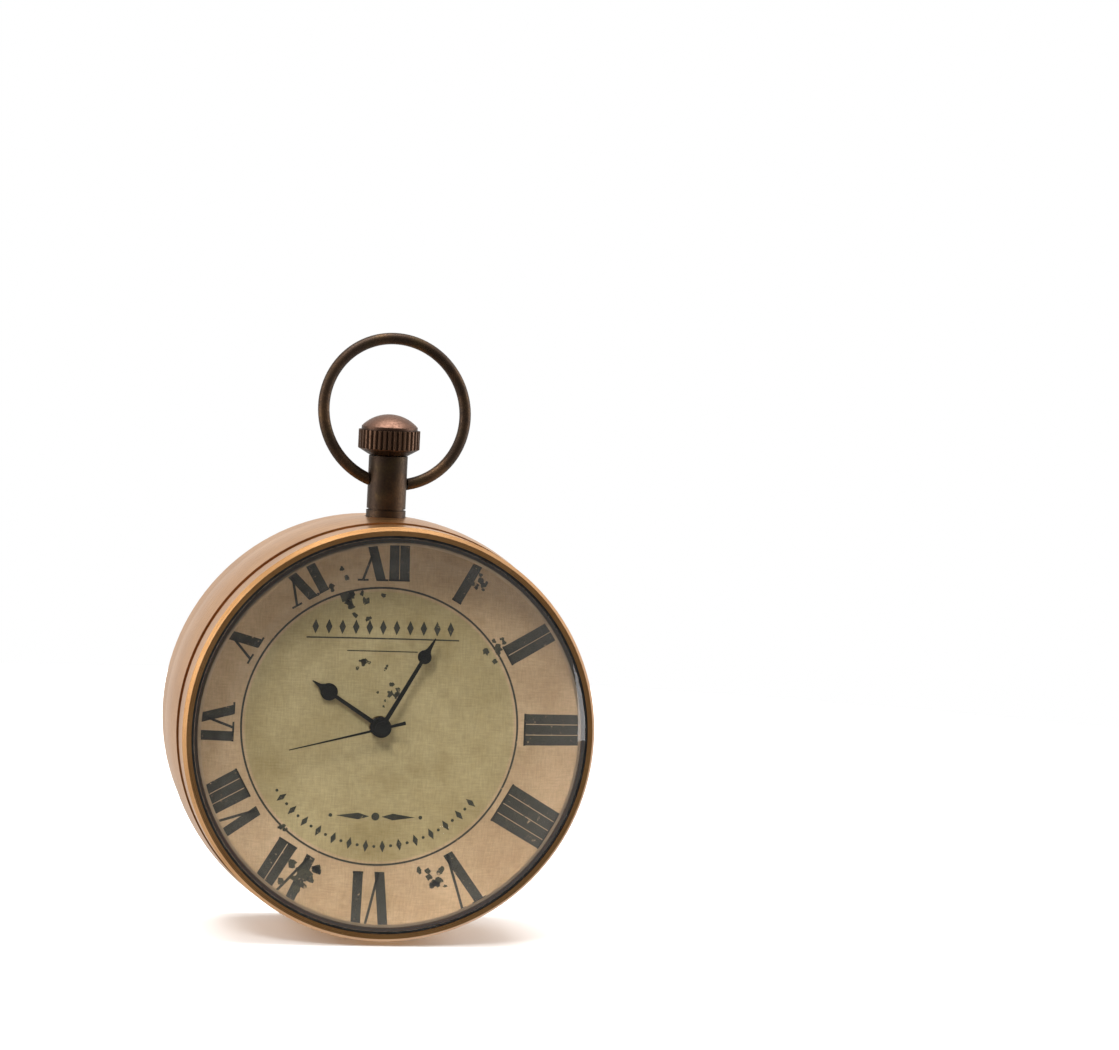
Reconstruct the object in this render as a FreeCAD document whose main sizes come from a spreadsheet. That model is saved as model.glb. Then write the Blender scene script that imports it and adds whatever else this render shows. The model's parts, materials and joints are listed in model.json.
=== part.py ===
import FreeCAD, Part
import Sketcher
import math
import os
import re

# A ball watch: a round bronze case with a magnifying glass on each side, a quartz clock dial
# in front, a compass card behind, and a neck on top that carries a crown and a hanging ring.
# Millimetres. X is right and Z is up, seen from the front; the dial faces -Y. The origin is
# under the case. Pieces on the case's axis are drawn with their own Z towards the front.

SIZES = {
    # case
    "case_r": 30.6, "barrel_crown": 0.4, "barrel_half": 7.3, "strip_r": 29.55, "strip_w": 1.25,
    "groove_r": 28.95, "groove_w": 0.22, "rim_end": 13.0, "case_in_r": 27.6, "seat_depth": 0.25, "seat_r": 3.05,
    "bezel_r": 30.0, "bezel_front": 14.0, "bezel_wall": 1.2, "bezel_bevel": 0.5,
    "bezel_bevel_len": 1.0, "bead_at": 10.2, "bead_w": 0.6, "bead_proud": 0.12, "snap_gap": 0.02,
    # glasses, seals and rings
    "gasket_wall": 0.4, "gasket_set": 0.15, "dome_height": 8.5,
    "front_ring_wall": 0.5, "rear_ring_wall": 1.1,
    # dial, card and holder
    "holder_half": 2.7, "holder_gap": 0.1, "plate_t": 0.3, "paper_t": 0.2, "dial_hole_r": 1.3,
    "foot_r": 0.35, "foot_x": 8.3, "foot_y": 6.6, "foot_gap": 0.07, "stem_slot_w": 1.6,
    # neck, collar, crown and ring
    "neck_turn": 7.0, "neck_r": 2.85, "stub_r": 2.2, "stub_len": 2.7, "collar_r": 2.9,
    "collar_h": 1.1, "neck_groove_r": 2.6, "neck_groove_h": 0.25, "neck_h": 9.05,
    "neck_bore_r": 0.75, "neck_mouth_r": 1.65, "neck_mouth_depth": 2.1,
    "pivot_h": 5.3, "pin_r": 0.5, "pin_in": 1.7, "pin_gap": 0.05,
    "wire_r": 0.85, "bow_r": 10.8, "bow_rise": 10.3, "bow_shift": 1.2, "bow_side": 0.1,
    "bow_lean": 10.0,
    "crown_lift": 0.12, "crown_r": 4.5, "crown_cone_h": 0.95, "knurl_h": 2.7, "step_r": 4.1,
    "step_h": 0.5, "crown_dome_h": 1.8, "knurls": 36, "knurl_depth": 0.32, "knurl_w": 0.5,
    "crown_tube_r": 1.3, "crown_tube_h": 1.7, "seal_gap": 0.03, "seal_h": 0.6,
    "stem_r": 0.4, "stem_in": 5.8, "stem_bite": 2.6, "clip_at": 9.2, "clip_w": 0.4,
    "clip_r": 0.8, "clip_groove_r": 0.28, "clutch_at": 6.2, "clutch_w": 1.5, "clutch_r": 0.9,
    # movement plates
    "movement_r": 12.0, "main_front": 1.45, "main_t": 1.0, "bridge_t": 0.65, "bridge_gap": 2.1,
    "post_r": 0.8, "small_post_r": 0.5, "screw_r": 0.3, "head_r": 0.6, "head_t": 0.25,
    "pivot_r": 0.12, "run_gap": 0.05, "wheel_t": 0.3, "end_gap": 0.15, "layer_gap": 0.2,
    "cover_back": 2.5, "cover_t": 0.12,
    # train
    "third_m": 0.12, "third_angle": 300.0, "fifth_m": 0.175, "fifth_angle": 200.0,
    "rotor_m": 0.11, "magnet_r": 1.0, "motion_m": 0.16, "motion_angle": 125.0,
    "setting_angle": 100.0, "stator_gap": 0.25,
    # coaxial pipes at the centre
    "seconds_r": 0.15, "centre_pipe_r": 0.4, "cannon_pipe_r": 0.65, "hour_pipe_r": 1.0,
    # power and electronics
    "cell_r": 3.4, "cell_t": 2.6, "cell_x": 7.42, "cell_y": 2.7, "strap_t": 0.2, "strap_w": 1.8,
    "stator_t": 0.5, "core_t": 0.5, "coil_r": 0.9, "coil_half": 3.7, "coil_at": 9.75,
    "arm_half": 5.3, "board_t": 0.3, "board_back": 1.3, "crystal_r": 0.68, "crystal_len": 4.6,
    # hands
    "hour_len": 10.3, "hour_bulb_at": 7.8, "hour_bulb_r": 1.08, "minute_len": 13.1,
    "minute_bulb_at": 10.35, "minute_bulb_r": 0.87, "hub_r": 1.26, "hand_t": 0.2,
    "hand_w": 0.27, "hour_hand_at": 3.65, "minute_hand_at": 4.35, "seconds_hand_at": 5.0,
    "seconds_len": 12.1, "seconds_tail": 3.0, "seconds_w": 0.14, "collet_r": 0.45,
    "collet_h": 0.28, "hour_turn": 302.5, "minute_turn": 29.6, "seconds_turn": 255.3,
}

doc = FreeCAD.newDocument("ball_watch")
sheet = doc.addObject("Spreadsheet::Sheet", "dims")
for row, (alias, size) in enumerate(SIZES.items(), start=1):
    sheet.set(f"A{row}", alias)
    sheet.set(f"B{row}", str(size))
    sheet.setAlias(f"B{row}", alias)
doc.recompute()

Vector = FreeCAD.Vector
Rotation = FreeCAD.Rotation
X_AXIS, Z_AXIS = Vector(1, 0, 0), Vector(0, 0, 1)
parts = []


def val(expression):
    """The value of an expression of the sheet's sizes, in mm or degrees."""
    return float(sheet.evalExpression(str(expression)))


def bound(expression):
    """The same expression as another object writes it."""
    return re.sub(r"[a-z]\w*", lambda m: f"dims.{m[0]}" if m[0] in SIZES else m[0], str(expression))


def bind(thing, prop, expression):
    thing.setExpression(prop, bound(expression))


# ---- frames -------------------------------------------------------------------------------

CASE_TURN = Rotation(X_AXIS, 90)
SEAT_Y = "(case_r - seat_depth)"
SEAT = f"case_r + {SEAT_Y}"


def on_case_axis(thing, turn=0.0):
    """Stands the piece on the case's axis, turned clockwise seen from the front."""
    thing.Placement = FreeCAD.Placement(Vector(0, 0, val("case_r")), CASE_TURN * Rotation(Z_AXIS, -turn))
    bind(thing, "Placement.Base.z", "case_r")


def on_neck_axis(thing, height, lean=0.0):
    """Stands the piece on the neck's axis at a height over the collar's seat."""
    turn = Rotation(Z_AXIS, val("neck_turn")) * Rotation(X_AXIS, -lean)
    thing.Placement = FreeCAD.Placement(Vector(0, 0, val(f"{SEAT} + {height}")), turn)
    bind(thing, "Placement.Base.z", f"{SEAT} + {height}")


# ---- sketches and features ------------------------------------------------------------------


def pin_down(sketch, geo, pos, x, y):
    """Holds a point of a sketch at its two sizes."""
    for kind, expression, axis in (("DistanceX", x, -2), ("DistanceY", y, -1)):
        if abs(val(expression)) < 1e-9:
            sketch.addConstraint(Sketcher.Constraint("PointOnObject", geo, pos, axis))
            continue
        index = sketch.addConstraint(Sketcher.Constraint(kind, -1, 1, geo, pos, val(expression)))
        bind(sketch, f"Constraints[{index}]", expression)


def add_circle(sketch, x, y, r):
    circle = Part.Circle(Vector(val(x), val(y), 0), Z_AXIS, val(r))
    geo = sketch.addGeometry(circle)
    pin_down(sketch, geo, 3, x, y)
    index = sketch.addConstraint(Sketcher.Constraint("Radius", geo, val(r)))
    bind(sketch, f"Constraints[{index}]", r)


def arc_between(a, b, radius, side):
    """The short arc from a to b; side 1 turns left, -1 turns right."""
    chord = b - a
    rise = math.sqrt(radius**2 - chord.Length**2 / 4)
    centre = (a + b) * 0.5 + Vector(-chord.y, chord.x, 0).normalize() * (rise * side)
    first, last = (a, b) if side > 0 else (b, a)
    angles = [math.atan2(p.y - centre.y, p.x - centre.x) for p in (first, last)]
    return Part.ArcOfCircle(Part.Circle(centre, Z_AXIS, radius), angles[0], angles[1])


def add_outline(sketch, points):
    """A closed outline. A point is (x, y), or (x, y, radius, side) where an arc leaves it."""
    spots = [Vector(val(p[0]), val(p[1]), 0) for p in points]
    ends = []
    for i, point in enumerate(points):
        a, b = spots[i], spots[(i + 1) % len(points)]
        if len(point) == 2:
            ends.append((sketch.addGeometry(Part.LineSegment(a, b)), 1, 2))
            continue
        geo = sketch.addGeometry(arc_between(a, b, val(point[2]), point[3]))
        ends.append((geo, 1, 2) if point[3] > 0 else (geo, 2, 1))
        index = sketch.addConstraint(Sketcher.Constraint("Radius", geo, val(point[2])))
        bind(sketch, f"Constraints[{index}]", point[2])
    for i, (geo, start, _) in enumerate(ends):
        last_geo, _, last_end = ends[i - 1]
        sketch.addConstraint(Sketcher.Constraint("Coincident", last_geo, last_end, geo, start))
        pin_down(sketch, geo, start, points[i][0], points[i][1])


def add_sketch(body, role, shapes, offset=0):
    """A sketch on one of the body's own planes. A shape is an outline, or a circle as a tuple."""
    sketch = body.newObject("Sketcher::SketchObject", f"{body.Name}_sketch")
    plane = next(f for f in body.Origin.OriginFeatures if f.Role == role)
    sketch.AttachmentSupport = [(plane, "")]
    sketch.MapMode = "FlatFace"
    if offset:
        bind(sketch, "AttachmentOffset.Base.z", offset)
    for shape in shapes:
        if isinstance(shape, tuple):
            add_circle(sketch, *shape)
        else:
            add_outline(sketch, shape)
    return sketch


def new_body(label):
    body = doc.addObject("PartDesign::Body", label)
    body.Label = label
    parts.append(body)
    return body


def lathe(label, points):
    """A turned piece: the outline, as radius and height, spun about its own Z."""
    body = new_body(label)
    turned = body.newObject("PartDesign::Revolution", f"{label}_turned")
    turned.Profile = add_sketch(body, "XZ_Plane", [points])
    turned.ReferenceAxis = (turned.Profile[0], ["V_Axis"])
    turned.Angle = 360
    return body


def pad(body, shapes, bottom, height):
    """Adds a slab from a height in the body, upwards."""
    slab = body.newObject("PartDesign::Pad", f"{body.Name}_pad")
    slab.Profile = add_sketch(body, "XY_Plane", shapes, bottom)
    bind(slab, "Length", height)
    return slab


def cut(body, role, shapes, offset=0, depth=None, back=False):
    """Cuts the shapes out: through everything, or to a depth; stops if nothing is removed."""
    doc.recompute()
    before = body.Shape.Volume
    pocket = body.newObject("PartDesign::Pocket", f"{body.Name}_cut")
    pocket.Profile = add_sketch(body, role, shapes, offset)
    pocket.Reversed = back
    if depth is None:
        pocket.Type = 1
    else:
        bind(pocket, "Length", depth)
    doc.recompute()
    assert body.Shape.Volume < before - 1e-4, f"{body.Label}: the cut removed nothing"
    return pocket


def ring(label, r_out, r_in, start, length):
    """A plain turned ring."""
    end = f"({start}) + ({length})"
    return lathe(label, [(r_in, start), (r_out, start), (r_out, end), (r_in, end)])


def part_feature(label, shape):
    """A piece whose outline is worked out in code from the sheet's sizes."""
    feature = doc.addObject("Part::Feature", label)
    feature.Label = label
    feature.Shape = shape
    parts.append(feature)
    return feature


# ---- case -----------------------------------------------------------------------------------

STRIP_END = "barrel_half + strip_w"
RIM_R = "bezel_r - bezel_wall"
BARREL_SAG = "barrel_crown"
BARREL_RADIUS = f"(barrel_half ^ 2 + {BARREL_SAG} ^ 2) / (2 * {BARREL_SAG})"
BEAD_SEAT = f"{RIM_R} - bead_proud - snap_gap"


def rim(side):
    """Half of the mid-case's section outside the barrel, from the barrel's edge to the rim's end."""
    strip_start = "barrel_half + groove_w"
    strip_stop = f"{STRIP_END} - groove_w"
    points = [
        ("groove_r", "barrel_half"), ("groove_r", strip_start), ("strip_r", strip_start),
        ("strip_r", strip_stop), ("groove_r", strip_stop), ("groove_r", STRIP_END), (RIM_R, STRIP_END),
        (RIM_R, "bead_at - snap_gap"), (BEAD_SEAT, "bead_at - snap_gap"),
        (BEAD_SEAT, "bead_at + bead_w + snap_gap"), (RIM_R, "bead_at + bead_w + snap_gap"),
        (RIM_R, "rim_end"), ("case_in_r", "rim_end"),
    ]
    return [(r, f"{side}({a})") for r, a in points]


mid_case = lathe(
    "mid_case",
    [("case_r - barrel_crown", "-barrel_half", BARREL_RADIUS, 1), ("case_r - barrel_crown", "barrel_half")]
    + rim("") + rim("-")[::-1],
)
stub_hole = [("0", "0", "stub_r")]
cut(mid_case, "XZ_Plane", stub_hole)
cut(mid_case, "XZ_Plane", [("0", "0", "seat_r")], offset=f"-{SEAT_Y}")
on_case_axis(mid_case)

GLASS_R = f"{RIM_R} - gasket_wall"
DOME_RADIUS = f"(({GLASS_R}) ^ 2 + dome_height ^ 2) / (2 * dome_height)"
DOME_TOP = "bezel_front + dome_height"
for side, sign, wall in (("front", "", "front_ring_wall"), ("rear", "-", "rear_ring_wall")):
    bend = -1 if sign else 1

    def facing(points):
        """The outline as it lies on this side of the case."""
        return [(r, f"{sign}({a})") + tuple(rest) for r, a, *rest in points]

    bezel = lathe(f"{side}_bezel", facing([
        (RIM_R, STRIP_END), ("bezel_r", STRIP_END), ("bezel_r", "bezel_front - bezel_bevel_len"),
        ("bezel_r - bezel_bevel", "bezel_front"), (RIM_R, "bezel_front"),
        (RIM_R, "bead_at + bead_w"), (f"{RIM_R} - bead_proud", "bead_at + bead_w"),
        (f"{RIM_R} - bead_proud", "bead_at"), (RIM_R, "bead_at"),
    ]))
    gasket = lathe(f"{side}_gasket", facing([
        (GLASS_R, "rim_end"), (RIM_R, "rim_end"), (RIM_R, "bezel_front - gasket_set"),
        (GLASS_R, "bezel_front - gasket_set"),
    ]))
    glass = lathe(f"{side}_glass", facing([
        ("0", "rim_end"), (GLASS_R, "rim_end"), (GLASS_R, "bezel_front", DOME_RADIUS, bend),
        ("0", DOME_TOP),
    ]))
    inner_ring = lathe(f"{side}_ring", facing([
        (f"case_in_r - {wall}", "holder_half + plate_t + paper_t"),
        ("case_in_r", "holder_half + plate_t + paper_t"), ("case_in_r", "rim_end"),
        (f"case_in_r - {wall}", "rim_end"),
    ]))
    for piece in (bezel, gasket, glass, inner_ring):
        on_case_axis(piece)

# ---- dial, compass card and the holder between them -------------------------------------------

DIAL_R = "case_in_r - holder_gap"
MAIN_BACK = "main_front - main_t"
FEET = [("foot_x", "-foot_y"), ("-foot_x", "foot_y")]

dial_plate = new_body("dial_plate")
pad(dial_plate, [("0", "0", DIAL_R), ("0", "0", "dial_hole_r")], "holder_half", "plate_t")
pad(dial_plate, [(x, y, "foot_r") for x, y in FEET], f"{MAIN_BACK} + end_gap",
    f"holder_half - ({MAIN_BACK}) - end_gap")
dial_face = new_body("dial_face")
pad(dial_face, [("0", "0", DIAL_R), ("0", "0", "dial_hole_r")], "holder_half + plate_t", "paper_t")
card_plate = new_body("card_plate")
pad(card_plate, [("0", "0", DIAL_R)], "-holder_half - plate_t", "plate_t")
compass_card = new_body("compass_card")
pad(compass_card, [("0", "0", DIAL_R)], "-holder_half - plate_t - paper_t", "paper_t")

holder = new_body("movement_holder")
pad(holder, [("0", "0", DIAL_R), ("0", "0", "movement_r + holder_gap")],
    "-holder_half", "2 * holder_half")
half_slot = "stem_slot_w / 2"
cut(holder, "XY_Plane", [[
    (f"-{half_slot}", "movement_r - 1"), (half_slot, "movement_r - 1"),
    (half_slot, "case_in_r + 1"), (f"-{half_slot}", "case_in_r + 1"),
]], offset="-holder_half", depth=f"holder_half + {half_slot}", back=True)
for piece in (dial_plate, dial_face, card_plate, compass_card, holder):
    on_case_axis(piece)

# ---- neck, collar, crown, stem ----------------------------------------------------------------

NECK_START = "collar_h + neck_groove_h"
MOUTH = "neck_h - neck_mouth_depth"
neck = lathe("neck", [
    ("neck_bore_r", "-stub_len"), ("stub_r", "-stub_len"), ("stub_r", "collar_h"),
    ("neck_groove_r", "collar_h"), ("neck_groove_r", NECK_START), ("neck_r", NECK_START),
    ("neck_r", "neck_h"), ("neck_mouth_r", "neck_h"), ("neck_mouth_r", MOUTH),
    ("neck_bore_r", MOUTH),
])
pin_hole = [("0", "pivot_h", "pin_r + pin_gap")]
doc.recompute()
for back in (False, True):
    cut(neck, "YZ_Plane", pin_hole, back=back)
on_neck_axis(neck, "0")

collar = ring("neck_collar", "collar_r", "stub_r", "0", "collar_h")
on_neck_axis(collar, "0")

KNURL_START = "crown_lift + crown_cone_h"
KNURL_END = f"{KNURL_START} + knurl_h"
STEP_END = f"{KNURL_END} + step_h"
CROWN_DOME = "(step_r ^ 2 + crown_dome_h ^ 2) / (2 * crown_dome_h)"
crown = lathe("crown", [
    ("stem_r", "crown_lift - crown_tube_h"), ("crown_tube_r", "crown_lift - crown_tube_h"),
    ("crown_tube_r", "crown_lift"), ("neck_r", "crown_lift"), ("crown_r", KNURL_START),
    ("crown_r", KNURL_END), ("step_r", KNURL_END), ("step_r", STEP_END, CROWN_DOME, 1),
    ("0", f"{STEP_END} + crown_dome_h"), ("0", "stem_bite"), ("stem_r", "stem_bite"),
])
notch = cut(crown, "XY_Plane", [[
    ("crown_r - knurl_depth", "0"), ("crown_r + knurl_depth", "-knurl_w"),
    ("crown_r + knurl_depth", "knurl_w"),
]], offset=KNURL_START, depth="knurl_h", back=True)
knurling = crown.newObject("PartDesign::PolarPattern", "crown_knurling")
knurling.Originals = [notch]
knurling.Axis = (next(f for f in crown.Origin.OriginFeatures if f.Role == "Z_Axis"), [""])
knurling.Angle = 360
bind(knurling, "Occurrences", "knurls")
crown.Tip = knurling
on_neck_axis(crown, "neck_h")

crown_seal = ring("crown_seal", "neck_mouth_r - seal_gap", "crown_tube_r",
                  "crown_lift - crown_tube_h", "seal_h")
on_neck_axis(crown_seal, "neck_h")

# the stem runs from the movement to the crown, on the neck's axis at the case's centre
STEM_END = f"{SEAT_Y} + neck_h + stem_bite"
stem = lathe("stem", [
    ("0", "stem_in"), ("stem_r", "stem_in"), ("stem_r", "clip_at"), ("clip_groove_r", "clip_at"),
    ("clip_groove_r", "clip_at + clip_w + run_gap"), ("stem_r", "clip_at + clip_w + run_gap"),
    ("stem_r", STEM_END), ("0", STEM_END),
])
clutch = ring("clutch_wheel", "clutch_r", "stem_r", "clutch_at", "clutch_w")
tooth_gap = [[("clutch_r * 0.7", "0"), ("clutch_r * 1.2", "-0.2"), ("clutch_r * 1.2", "0.2")]]
clutch_notch = cut(clutch, "XY_Plane", tooth_gap, offset="clutch_at + clutch_w * 0.6",
                   depth="clutch_w", back=True)
clutch_teeth = clutch.newObject("PartDesign::PolarPattern", "clutch_teeth")
clutch_teeth.Originals = [clutch_notch]
clutch_teeth.Axis = (next(f for f in clutch.Origin.OriginFeatures if f.Role == "Z_Axis"), [""])
clutch_teeth.Angle = 360
clutch_teeth.Occurrences = 12
clutch.Tip = clutch_teeth
clip = ring("stem_clip", "clip_r", "clip_groove_r + run_gap", "clip_at + run_gap / 2", "clip_w")
for piece in (stem, clutch, clip):
    piece.Placement = FreeCAD.Placement(Vector(0, 0, val("case_r")), Rotation())
    bind(piece, "Placement.Base.z", "case_r")

# ---- the hanging ring ---------------------------------------------------------------------------

# a round wire ring, cut flat beside the neck, whose two pins enter the neck's cross hole
BOW_END_X = "neck_r + bow_side"
bow_ring = doc.addObject("Part::Torus", "bow_ring")
bind(bow_ring, "Radius1", "bow_r")
bind(bow_ring, "Radius2", "wire_r")
bow_ring.Placement = FreeCAD.Placement(Vector(), Rotation(X_AXIS, 90))
bind(bow_ring, "Placement.Base.x", "bow_shift")
bind(bow_ring, "Placement.Base.z", "bow_rise")
neck_room = doc.addObject("Part::Box", "bow_neck_room")
bind(neck_room, "Length", f"2 * ({BOW_END_X})")
bind(neck_room, "Width", "4 * wire_r")
bind(neck_room, "Height", "bow_rise")
bind(neck_room, "Placement.Base.x", f"-({BOW_END_X})")
bind(neck_room, "Placement.Base.y", "-2 * wire_r")
bind(neck_room, "Placement.Base.z", "-bow_rise / 2")
bow_wire = doc.addObject("Part::Cut", "bow_wire")
bow_wire.Base = bow_ring
bow_wire.Tool = neck_room
bow_pieces = [bow_wire]
for name, sign in (("left", -1), ("right", 1)):
    pin = doc.addObject("Part::Cylinder", f"bow_pin_{name}")
    bind(pin, "Radius", "pin_r")
    bind(pin, "Height", f"{BOW_END_X} + pin_r / 2 - pin_in")
    pin.Placement.Rotation = Rotation(Vector(0, 1, 0), 90 * sign)
    bind(pin, "Placement.Base.x", f"{sign} * pin_in")
    bow_pieces.append(pin)
bow = doc.addObject("Part::MultiFuse", "bow")
bow.Label = "bow"
bow.Shapes = bow_pieces
on_neck_axis(bow, "pivot_h", val("bow_lean"))
parts.append(bow)

# ---- movement: plates, posts and screws -----------------------------------------------------------


def polar(distance, angle):
    return Vector(distance * math.cos(math.radians(angle)), distance * math.sin(math.radians(angle)), 0)


def at(point):
    return f"{point.x:.6f}", f"{point.y:.6f}"


def circles(points, r):
    return [(*at(p), r) for p in points]


THIRD_TEETH, THIRD_PINION, CENTRE_TEETH = 60, 8, 64
FOURTH_TEETH, FOURTH_PINION = 40, 8
FIFTH_TEETH, FIFTH_PINION, ROTOR_PINION = 48, 8, 8
CANNON_TEETH, MINUTE_TEETH, MINUTE_PINION, HOUR_TEETH, SETTING_TEETH = 10, 30, 8, 32, 16

third_m = val("third_m")
fifth_m = val("fifth_m")
rotor_m = val("rotor_m")
motion_m = val("motion_m")
third_distance = third_m * (THIRD_TEETH + FOURTH_PINION) / 2
centre_m = 2 * third_distance / (CENTRE_TEETH + THIRD_PINION)
fifth_distance = fifth_m * (FOURTH_TEETH + FIFTH_PINION) / 2
rotor_distance = fifth_distance + rotor_m * (FIFTH_TEETH + ROTOR_PINION) / 2
motion_distance = motion_m * (CANNON_TEETH + MINUTE_TEETH) / 2
hour_m = 2 * motion_distance / (HOUR_TEETH + MINUTE_PINION)
setting_distance = motion_m * (MINUTE_TEETH + SETTING_TEETH) / 2

centre_at = Vector(0, 0, 0)
third_at = polar(third_distance, val("third_angle"))
fifth_at = polar(fifth_distance, val("fifth_angle"))
rotor_at = polar(rotor_distance, val("fifth_angle"))
minute_at = polar(motion_distance, val("motion_angle"))
setting_at = minute_at + polar(setting_distance, val("setting_angle"))
coil_axis = polar(1, val("fifth_angle"))
coil_across = polar(1, val("fifth_angle") + 90)


def beside_coil(out, across):
    """A point of the plate, out from the centre past the rotor and across from that line."""
    return coil_axis * out + coil_across * across


bridge_posts = [Vector(6.3, -5.6, 0), Vector(-2.6, -7.0, 0), Vector(-4.2, 3.6, 0)]
core_posts = [beside_coil(val("coil_at"), 4.6), beside_coil(val("coil_at"), -4.6)]
board_posts = [Vector(-9.4, 4.2, 0), Vector(-2.7, 5.9, 0)]
strap_posts = [Vector(3.2, 6.0, 0), Vector(10.4, -1.5, 0)]
cover_posts = [Vector(-5.6, 5.4, 0), Vector(2.6, 4.4, 0)]
lever_post = Vector(2.6, 9.7, 0)

BRIDGE_FRONT = f"{MAIN_BACK} - bridge_gap"
BRIDGE_BACK = f"{BRIDGE_FRONT} - bridge_t"
PIVOT_HOLE = "pivot_r + run_gap"
STATOR_FRONT = f"{MAIN_BACK} - 0.6"
STATOR_BACK = f"{STATOR_FRONT} - stator_t"
CORE_BACK = f"{STATOR_BACK} - core_t"
CELL_FRONT = f"{MAIN_BACK} - run_gap"
CELL_BACK = f"{CELL_FRONT} - cell_t"
BOARD_FRONT = "-board_back + board_t"
arbor_holes = circles([third_at, fifth_at, rotor_at], PIVOT_HOLE)

main_plate = new_body("main_plate")
clutch_slot = [("-1.3", "clutch_at - 0.4"), ("1.3", "clutch_at - 0.4"),
               ("1.3", "clip_at + clip_w + 1.4"), ("-1.3", "clip_at + clip_w + 1.4")]
pad(main_plate, [("0", "0", "movement_r"), ("0", "0", "centre_pipe_r + run_gap"), clutch_slot]
    + arbor_holes + [(x, y, "foot_r + foot_gap") for x, y in FEET], MAIN_BACK, "main_t")
for posts, r, back in (
    (bridge_posts, "post_r", BRIDGE_FRONT), (core_posts, "post_r", STATOR_FRONT),
    (board_posts, "small_post_r", BOARD_FRONT), (strap_posts, "post_r", CELL_BACK),
):
    pad(main_plate, circles(posts, r) + circles(posts, "screw_r"), back, f"{MAIN_BACK} - ({back})")
pad(main_plate, circles([lever_post], "screw_r"), "-clip_r - 0.4", f"{MAIN_BACK} + clip_r + 0.4")
pad(main_plate, circles([minute_at, setting_at], "pivot_r * 2") + circles(cover_posts, "small_post_r"),
    "main_front", "cover_back - main_front")

bridge = new_body("train_bridge")
bridge_edge = [("7.4", "-5.0"), ("1.6", "1.5"), ("-3.5", "4.7"), ("-5.3", "4.4"), ("-7.9", "-1.5"),
               ("-7.9", "-3.5"), ("-3.6", "-7.6"), ("-2.4", "-8.2"), ("6.6", "-6.8")]
pad(bridge, [bridge_edge, ("0", "0", "seconds_r + run_gap")] + arbor_holes
    + circles(bridge_posts, "screw_r"), BRIDGE_BACK, "bridge_t")

cover = new_body("motion_cover")
cover_edge = [("3.5", "4.9"), ("2.2", "5.3"), ("0.4", "3.0"), ("-1.6", "8.0"), ("-6.5", "6.2"),
              ("-5.2", "1.3"), ("-2.2", "-0.6"), ("0", "-2.0"), ("2.2", "-0.4")]
pad(cover, [cover_edge, ("0", "0", "hour_pipe_r + 0.3")], "cover_back", "cover_t")


def screws(seats):
    """One small screw for each (place, seat height): a head over the seat and its shank."""
    solids = []
    for place, seat in seats:
        head = Part.makeCylinder(val("head_r"), val("head_t"), Vector(place.x, place.y, seat - val("head_t")))
        slot = Part.makeBox(2 * val("head_r"), 0.16, 0.1, Vector(place.x - val("head_r"), place.y - 0.08,
                                                                 seat - val("head_t")))
        shank = Part.makeCylinder(val("screw_r"), val(MAIN_BACK) - seat, Vector(place.x, place.y, seat))
        solids.append(head.cut(slot).fuse(shank).removeSplitter())
    return Part.makeCompound(solids)


seats = [(p, val(BRIDGE_BACK)) for p in bridge_posts] + [(p, val(CORE_BACK)) for p in core_posts]
seats += [(p, -val("board_back")) for p in board_posts]
seats += [(p, val(f"{CELL_BACK} - strap_t")) for p in strap_posts]
movement_screws = part_feature("movement_screws", screws(seats))

# ---- battery, coil, stator and circuit --------------------------------------------------------------

battery = lathe("battery", [
    ("0", CELL_BACK), ("cell_r - 0.1", CELL_BACK), ("cell_r", f"{CELL_BACK} + 0.1"),
    ("cell_r", f"{CELL_FRONT} - 0.5"), ("cell_r - 0.5", f"{CELL_FRONT} - 0.3"),
    ("cell_r - 0.5", CELL_FRONT), ("0", CELL_FRONT),
])
strap = new_body("battery_clamp")
along = (strap_posts[1] - strap_posts[0]).normalize()
across = Vector(-along.y, along.x, 0) * (val("strap_w") / 2)
ends = [strap_posts[0] - along * 0.8, strap_posts[1] + along * 0.8]
pad(strap, [[at(ends[0] - across), at(ends[1] - across), at(ends[1] + across), at(ends[0] + across)]]
    + circles(strap_posts, "screw_r"), f"{CELL_BACK} - strap_t", "strap_t")

stator = new_body("stator")
inner_edge = rotor_distance - 1.5
outer_edge = rotor_distance + 1.45
arm = val("arm_half")
tip = val("coil_at") + 0.8
stator_edge = [
    (inner_edge, -3.6), (inner_edge, 3.6), (outer_edge - 0.6, arm), (tip, arm), (tip, 4.0),
    (outer_edge, 3.9), (outer_edge, -3.9), (tip, -4.0), (tip, -arm), (outer_edge - 0.6, -arm),
]
pad(stator, [[at(beside_coil(*p)) for p in stator_edge]]
    + circles([rotor_at], "magnet_r + stator_gap") + circles(core_posts, "screw_r"),
    STATOR_BACK, "stator_t")

core = new_body("coil_core")
core_edge = [(val("coil_at") - 0.55, -arm), (val("coil_at") - 0.55, arm),
             (val("coil_at") + 0.55, arm), (val("coil_at") + 0.55, -arm)]
pad(core, [[at(beside_coil(*p)) for p in core_edge]] + circles(core_posts, "screw_r"),
    CORE_BACK, "core_t")
doc.recompute()
coil_middle = beside_coil(val("coil_at"), 0) + Vector(0, 0, val(f"{CORE_BACK} + core_t / 2"))
winding = Part.makeCylinder(val("coil_r"), 2 * val("coil_half"),
                            coil_middle - coil_across * val("coil_half"), coil_across)
coil = part_feature("coil", winding.cut(core.Shape))

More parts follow.
